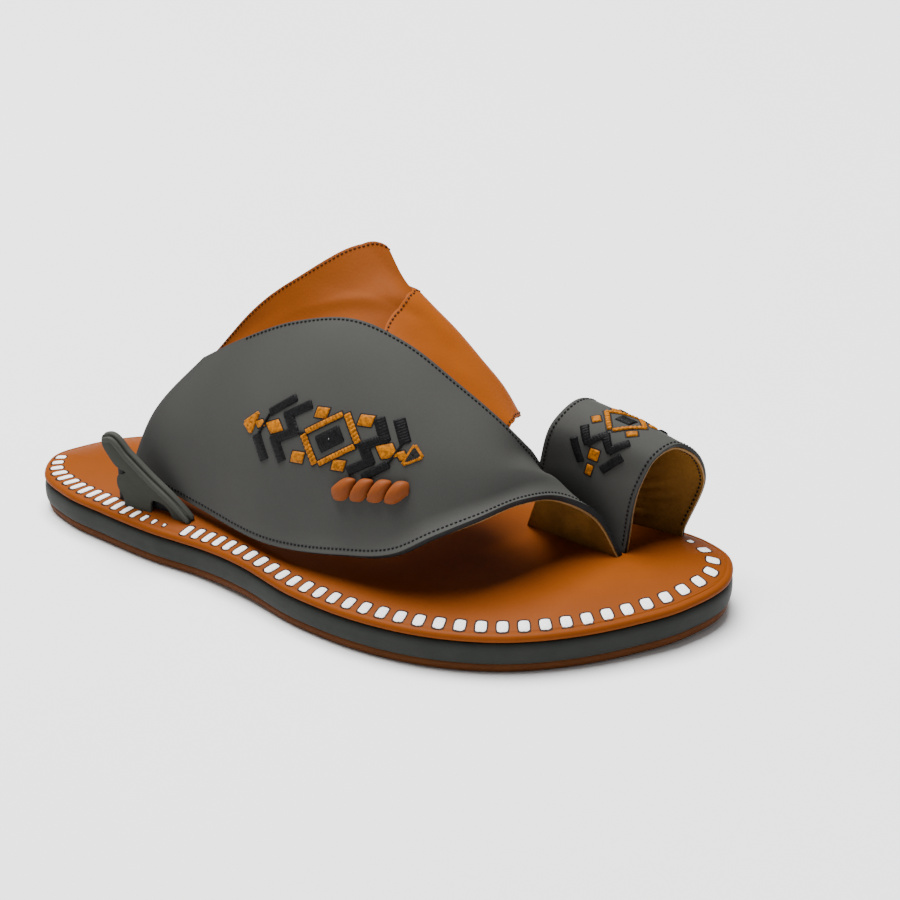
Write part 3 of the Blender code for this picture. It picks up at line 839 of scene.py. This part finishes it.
def add_toe_loop():
    """Grey ply of the loop around the big toe, and its wrinkled lining."""
    def outer(u, v):
        return landed(loop_skin(LOOP_ROWS * u, LOOP_COLUMNS * v), (v < FIRST) | (v > LAST))

    def inner(u, v):
        depth = -LOOP_PLY - PLY_GAP
        spots = np.column_stack([u, v])
        for first, last in LOOP_WRINKLES:
            way = np.subtract(last, first)
            share = np.clip(((spots - first) @ way) / (way @ way), 0, 1)
            away = (spots - first - share[:, None] * way) * WRINKLE_WEIGHTS
            away = np.linalg.norm(away, axis=1)
            fade = np.sin(np.pi * (WRINKLE_FADE[0] + WRINKLE_FADE[1] * share))
            depth = depth - WRINKLE_DEPTH * fade * np.exp(-(away / WRINKLE_WIDTH) ** 2)
        row = LOOP_LINING_BACK + (LOOP_ROWS - LOOP_LINING_BACK) * u
        points = raised(loop_skin, row, LOOP_COLUMNS * v, depth)
        return landed(points, (v < FIRST) | (v > LAST))

    add_sheet("loop_leather", outer, (40, 110), [NUBUCK, LINING, INKED_EDGE_AND_SHADE],
              ["toe_loop"], thickness=LOOP_PLY, rounding=0.4)
    add_sheet("loop_lining", inner, (60, 280), [LINING, LINING, LINING_EDGE],
              thickness=LOOP_LINING, rounding=0.3)


def add_side_tab():
    """The tab's web, splayed at its foot, an inner ply behind it, near-black as painted shade seen
    through the notch, and the two plies of the folded band along its top.
    """
    outline = closed_curve(np.array(TAB_OUTLINE), TAB_STEPS)
    far, start, span, curve = TAB_SPLAY
    splay = far * np.clip((start - outline[:, 1]) / span, 0, 1) ** curve
    band = np.array(TAB_BAND)[::-1]
    places = np.linspace(*TAB_INNER_SHADE_SPAN)
    upper = np.column_stack([places, np.interp(places, band[:, 0], band[:, 1])])
    lower = np.column_stack([places, np.full_like(places, TAB_INNER_SHADE_LOW)])
    inner = np.vstack([upper[::-1], lower])
    mesh = bmesh.new()
    # The inner ply takes the near-black second finish: painted shade behind the notch.
    for edge, y, finish in (
        (outline, TAB_OUTER_Y - splay, 0), (inner, TAB_OUTER_Y + TAB_PLY + TAB_INNER_SHADE_GAP, 1),
    ):
        side = np.column_stack([edge[:, 0], np.broadcast_to(y, len(edge)), edge[:, 1]])
        side = landed(side, side[:, 2] < TAB_FOOT)
        fin = mesh.faces.new([mesh.verts.new(point) for point in placed(side)])
        fin.material_index = finish
        pulled = bmesh.ops.extrude_face_region(mesh, geom=[fin])["geom"]
        top = [item for item in pulled if isinstance(item, bmesh.types.BMVert)]
        bmesh.ops.translate(mesh, verts=top, vec=(0, TAB_PLY * MM, 0))
    bmesh.ops.recalc_face_normals(mesh, faces=mesh.faces)
    rims = [edge for edge in mesh.edges if edge.calc_face_angle(0) > math.radians(60)]
    bmesh.ops.bevel(mesh, geom=rims, offset=0.45 * MM, offset_type="OFFSET", segments=3,
                    profile=0.5, affect="EDGES", material=-1)
    add_piece("side_tab_web", mesh, [SHADED_TAB_WEB_LEATHER, INKED_EDGE_AND_SHADE], ["side_tab"])
    for number, (across, up, half_wide, half_tall) in enumerate(TAB_BAND_PLIES, start=1):
        def ply(u, v):
            last = len(TAB_BAND) - 1
            line, ahead, behind = (smooth_at(TAB_BAND, np.clip(u * last + step, 0, last))
                                   for step in (0, BAND_STEP, -BAND_STEP))
            way = unit(ahead - behind)
            closing = np.clip(1 - (2 * u - 1) ** BAND_CLOSING, 0, 1) ** 0.5
            waves = (np.cos(2 * np.pi * v), half_wide), (np.sin(2 * np.pi * v), half_tall)
            wide, tall = (np.sign(wave) * np.abs(wave) ** BAND_SQUARENESS * half * closing
                          for wave, half in waves)
            tall = tall + up
            return np.column_stack([line[:, 0] + way[:, 1] * tall, across + wide,
                                    line[:, 1] - way[:, 0] * tall])

        mesh = grid_of(70, 24, ply)
        bmesh.ops.remove_doubles(mesh, verts=mesh.verts, dist=WELD * MM)
        bmesh.ops.recalc_face_normals(mesh, faces=mesh.faces)
        add_piece(f"side_tab_band_{number}", mesh, [TAB_LEATHER])


def chart_to_face(chart):
    """Rib numbers and places across for points of the motif's chart."""
    normal = unit(np.cross(*(skin(MOTIF_START[0] + a, MOTIF_START[1] + b) - skin(*MOTIF_START)
                             for a, b in ((SHORT, 0), (0, SHORT)))))
    axes = np.array([MOTIF_ALONG, np.cross(normal, MOTIF_ALONG)])
    spot = np.tile(np.array(MOTIF_START), (len(chart), 1))

    def seen(spot):
        return (skin(spot[:, 0], spot[:, 1]) - MOTIF_CENTRE) @ axes.T

    for _ in range(8):
        here = seen(spot)
        slopes = [(seen(spot + step) - here) / SHORT for step in ((SHORT, 0), (0, SHORT))]
        slopes = np.stack(slopes, axis=-1)
        spot = spot + np.linalg.solve(slopes, (chart - here)[..., None])[..., 0]
    return spot[:, 0], spot[:, 1]


def press_on_face(mesh):
    """Move a mesh that is drawn flat, in millimetres on the motif's chart, onto the face."""
    flat = np.array([vert.co for vert in mesh.verts])
    rib, across = chart_to_face(flat[:, :2])
    move(mesh.verts, raised(skin, rib, across, flat[:, 2]))


def press_on_loop(mesh):
    """Move a mesh drawn flat, in millimetres down from the crest and forward, onto the loop."""
    per_row, per_column = 30, 40
    rows = np.linspace(0, LOOP_ROWS, LOOP_ROWS * per_row + 1)
    columns = np.linspace(0, LOOP_COLUMNS, LOOP_COLUMNS * per_column + 1)
    points = loop_skin(*np.meshgrid(rows, columns, indexing="ij"))
    around = np.array([arc_lengths(line) for line in points])
    forward = np.array([arc_lengths(line) for line in points.transpose(1, 0, 2)])
    flat = np.array([vert.co for vert in mesh.verts])
    spots = []
    for down, ahead, _ in flat:
        row = LOOP_MIDDLE
        for _ in range(3):
            lengths = around[int(round(row * per_row))]
            column = np.interp(np.interp(LOOP_CREST, columns, lengths) - down, lengths, columns)
            lengths = forward[int(round(column * per_column))]
            row = np.interp(np.interp(LOOP_MIDDLE, rows, lengths) + ahead, lengths, rows)
        spots.append((row, column))
    row, column = np.array(spots).T
    move(mesh.verts, raised(loop_skin, row, column, flat[:, 2]))


def sew_bar(mesh, start, end, width, height=0.75, pitch=THREAD_PITCH, lean=0.0, wound=0.12):
    """A bar of threads side by side on the chart; wound is the depth of their grooves."""
    start, end = np.array(start), np.array(end)
    length = np.linalg.norm(end - start)
    along = (end - start) / length
    over = np.array([-along[1], along[0]])
    threads = max(2, round(length / pitch))
    strands = mesh.loops.layers.uv.verify()
    cells = {"x_segments": 4 * threads, "y_segments": 8}
    verts = bmesh.ops.create_grid(mesh, **cells, size=1, calc_uvs=True)["verts"]
    flat = np.array([vert.co[:2] for vert in verts])
    for vert in verts:
        for loop in vert.link_loops:
            loop[strands].uv = (loop[strands].uv.x * threads, loop[strands].uv.y)
    turn = (flat[:, 0] + 1) / 2 * threads + THREAD_TURN * flat[:, 1]
    ridge = np.abs(np.sin(turn * np.pi)) ** 0.7
    crown = np.clip(1 - flat[:, 1] ** 4, 0, 1) ** 0.5
    ends = np.clip((1 - np.abs(flat[:, 0])) * length / 2 / THREAD_ENDS, 0, 1) ** 0.5
    spread = flat[:, 1] * width / 2 * (1 - wound * 0.3 * (1 - ridge))
    forward = flat[:, 0] * length / 2 + lean * spread
    spots = (start + end) / 2 + forward[:, None] * along + spread[:, None] * over
    heights = height * crown * ends * (1 - wound * (1 - ridge)) - THREAD_SINK
    for vert, spot, rise in zip(verts, spots, heights):
        vert.co = (*spot, rise)


def sew_patch(threads, ground_and_shadow, start, end, width, **sewing):
    """A bar with a dark rim round it: where its stitches pull into the leather, and painted shadow.
    """
    reach = unit(np.subtract(end, start)) * SHADOW_REACH
    sew_bar(ground_and_shadow, np.subtract(start, reach), np.add(end, reach), width + 2 * SHADOW_REACH,
            GROUND_AND_SHADOW_HEIGHT, lean=sewing.get("lean", 0.0))
    sew_bar(threads, start, end, width, **sewing)


def drawn_in(corners):
    """The corners of a triangle moved a little towards its middle."""
    return np.array(corners) * (1 - TIP_INSET) + np.mean(corners, axis=0) * TIP_INSET


def sew_triangle(mesh, corners, filled):
    """A stitched triangle: its three sides, and the middle where it is filled."""
    corners = np.array(corners)
    for start, inside, end in zip(corners, drawn_in(corners), np.roll(corners, -1, axis=0)):
        sew_bar(mesh, start, end, width=1.4, height=0.7, wound=0.05)
        if filled:
            sew_bar(mesh, inside, corners.mean(axis=0), width=2.6)


def turned(bars, factors):
    """The same bars with their places on the chart multiplied."""
    return [(np.multiply(start, factors), np.multiply(end, factors), width)
            for start, end, width in bars]


def add_embroidery():
    """The motif on the face and the smaller one over the toe loop."""
    orange, black, pale, ground_and_shadow = bmesh.new(), bmesh.new(), bmesh.new(), bmesh.new()
    for turn in (1, -1):
        for bar in turned(FRAME_BARS, turn):
            sew_patch(orange, ground_and_shadow, *bar, height=1.1, **CORD)
        for bar in turned(FRAME_DIAMONDS, turn):
            sew_patch(orange, ground_and_shadow, *bar, lean=DIAMOND_LEAN)
    sew_bar(black, *HEART_BAR, **SATIN)
    sew_bar(pale, *PALE_DOT)
    for half in (1, -FRONT_HALF_STRETCH):
        for bar in turned((*ZIGZAG, *SIDE_BARS, *TIES), half):
            sew_bar(black, *bar, **SATIN)
    for bar in (*REAR_PATCHES, *FRONT_PATCHES):
        sew_patch(orange, ground_and_shadow, *bar, lean=PATCH_LEAN)
    sew_triangle(orange, REAR_TIP, True)
    sew_triangle(orange, FRONT_TIP, False)
    # A near-black band under the beads: painted shadow between and below the lobes.
    sew_bar(ground_and_shadow, BEAD_PLACES[0], BEAD_PLACES[-1], BEAD_SHADOW_WIDTH, GROUND_AND_SHADOW_HEIGHT)
    # The front tip's middle is filled with the same near-black.
    sew_triangle(ground_and_shadow, drawn_in(FRONT_TIP), True)
    for name, mesh, material in (
        ("orange_embroidery", orange, ORANGE_THREAD), ("black_embroidery", black, BLACK_THREAD),
        ("pale_embroidery", pale, PALE_THREAD), ("embroidery_ground_and_shadow", ground_and_shadow, THREAD_GROUND_AND_SHADOW),
    ):
        press_on_face(mesh)
        add_piece(name, mesh, [material])
    orange, black, ground_and_shadow = bmesh.new(), bmesh.new(), bmesh.new()
    sew_bar(black, *LOOP_HEART)
    for side in ((1, 1), (-1, 1)):
        for bar in turned(LOOP_FRAME, side):
            sew_patch(orange, ground_and_shadow, *bar, height=1.0, **CORD)
        for bar in turned((*LOOP_DIAMONDS, *LOOP_PATCHES), side):
            sew_patch(orange, ground_and_shadow, *bar)
        for bar in turned((*LOOP_ZIGZAG, *LOOP_BARS), side):
            sew_bar(black, *bar, **SATIN)
    for name, mesh, material in (
        ("orange_loop_embroidery", orange, ORANGE_THREAD),
        ("black_loop_embroidery", black, BLACK_THREAD), ("loop_ground_and_shadow", ground_and_shadow, THREAD_GROUND_AND_SHADOW),
    ):
        press_on_loop(mesh)
        add_piece(name, mesh, [material])


def add_beads():
    """Four lobes of twisted leather, each lying over the one before like the turns of a rope."""
    for number, (s, t) in enumerate(BEAD_PLACES, start=1):
        outward, longer, pointed = BEAD_ENDS.get(number, (0, 0, 0))
        mesh = bmesh.new()
        bmesh.ops.create_uvsphere(mesh, u_segments=40, v_segments=24, radius=1)
        for vert in mesh.verts:
            x, y, z = vert.co
            point = max(0.0, x * outward)
            tall = BEAD_HALF[1] * y * (1 - pointed * point ** 2)
            full = (BEAD_FULLNESS[0] - y * y) ** BEAD_FULLNESS[1]
            wide = x * full * BEAD_HALF[0] * (1 + longer * point)
            high = (z + BEAD_RISE) * BEAD_HALF[2] * (1 - BEAD_OVERLAP * x * abs(x))
            vert.co = (s + wide + BEAD_LEAN * tall, t + tall, high)
        press_on_face(mesh)
        add_piece(f"twisted_bead_{number}", mesh, [BEAD_LEATHER], [f"bead_{number}"])


def sew_seam(mesh, surface, first, second, height=STITCH_HEIGHT):
    """Stitches along a line on a surface."""
    points, above = (raised(surface, first, second, rise) for rise in (height, height + 1))
    lengths = arc_lengths(points)
    count = int(lengths[-1] / STITCH_PITCH)
    for place in (np.arange(count) + 0.5) * lengths[-1] / count:
        spot, ahead, behind, over = (
            np.array([np.interp(at, lengths, line[:, axis]) for axis in range(3)])
            for at, line in ((place, points), (place + STITCH_SIGHT, points),
                             (place - STITCH_SIGHT, points), (place, above))
        )
        along = unit(ahead - behind)
        up = unit(over - spot)
        side = unit(np.cross(up, along))
        axes = np.column_stack([along, side, np.cross(along, side)]) * STITCH_HALF
        matrix = Matrix(axes.tolist()).to_4x4() * MM
        matrix.translation = Vector(placed(spot))
        matrix[3][3] = 1
        lying = matrix @ Matrix.Rotation(math.pi / 2, 4, "Y")
        bmesh.ops.create_uvsphere(mesh, u_segments=6, v_segments=5, radius=1, matrix=lying)


def inset_across(surface, first, edge, inward, inset):
    """Places across that lie a given distance in from an edge."""
    edge = edge + np.zeros_like(first)
    step = surface(first, edge + PROBE * inward) - surface(first, edge)
    return edge + inward * PROBE * inset / np.linalg.norm(step, axis=1)


def add_stitches():
    """Black stitches along the face and the loop, brown ones along the straps."""
    face, straps = bmesh.new(), bmesh.new()
    ribs = np.linspace(*TOP_SEAM)
    sew_seam(face, skin, ribs, inset_across(skin, ribs, FACE_TOP, -1, TOP_INSET))
    ribs = np.linspace(*LOW_SEAM)
    sew_seam(face, face_skin, ribs, inset_across(face_skin, ribs, 0.0, 1, LOW_INSET))
    columns = np.linspace(*LOOP_SEAM)
    for edge, inward, inset, height in (
        (0, 1, LOOP_INSET, STITCH_HEIGHT), (LOOP_ROWS, -1, LOOP_INSET, STITCH_HEIGHT),
        (LOOP_ROWS, -1, *LOOP_INNER_SEAM),
    ):
        rows = inset_across(lambda c, r: loop_skin(r, c), columns, edge, inward, inset)
        sew_seam(face, loop_skin, rows, columns, height)
    add_piece("black_stitches", face, [BLACK_THREAD])
    for table, inward, surface, start in (
        (BACK_EDGE, 1, REAR_SKIN, BACK_SEAM_START),
        (OVERLAY_EDGE, 1, FRONT_SKIN, STRAP_SEAM_START),
        (FRONT_EDGE, -1, FRONT_SKIN, STRAP_SEAM_START),
    ):
        across = np.interp(np.linspace(0, 1, 400), *zip(*STRAP_COLUMNS))
        across = across[across > start]
        edge = edge_curve(table, across)
        rib = inset_across(lambda a, r: surface(r, a), across, edge, inward, STRAP_INSET)
        sew_seam(straps, surface, rib, across)
    add_piece("brown_stitches", straps, [BROWN_THREAD])


def add_studio():
    """Pale floor, soft light from above, and the photograph's camera."""
    mesh = bmesh.new()
    bmesh.ops.create_grid(mesh, x_segments=8, y_segments=8, size=4)
    floor = mesh_object("floor", mesh, [floor_paper("pale_paper")])
    world = bpy.data.worlds.new("soft_white")
    world.use_nodes = True
    sky = world.node_tree.nodes["Background"].inputs
    sky["Color"].default_value = (1.0, 1.0, 1.0, 1.0)
    sky["Strength"].default_value = 0.3
    bpy.context.scene.world = world
    data = bpy.data.lights.new("soft_box", "AREA")
    data.size = 1.8
    data.energy = 260.0
    lamp = linked("soft_box", data)
    lamp.location = LIGHT_PLACE
    lamp.rotation_euler = (LIGHT_AIM - LIGHT_PLACE).to_track_quat("-Z", "Y").to_euler()
    data = bpy.data.cameras.new("camera")
    data.lens = CAMERA_LENS
    data.sensor_width = 36.0
    camera = linked("camera", data)
    camera.location = Vector((CAMERA_TARGET + CAMERA_AWAY * CAMERA_DISTANCE) * MM)
    camera.rotation_euler = Vector(-CAMERA_AWAY).to_track_quat("-Z", "Y").to_euler()
    bpy.context.scene.camera = camera


add_sole_layer("outsole_tread", OUTSOLE_SIDE, False, OUTSOLE_RUBBER, "outsole")
add_sole_layer("midsole_wall", MIDSOLE_SIDE, False, MIDSOLE_RUBBER, "midsole")
footbed = add_sole_layer("footbed", INSOLE_SIDE, True, FOOTBED_LEATHER, "insole")
add_lacing()
add_straps()
add_face()
add_toe_loop()
add_side_tab()
add_embroidery()
add_beads()
add_stitches()
add_studio()
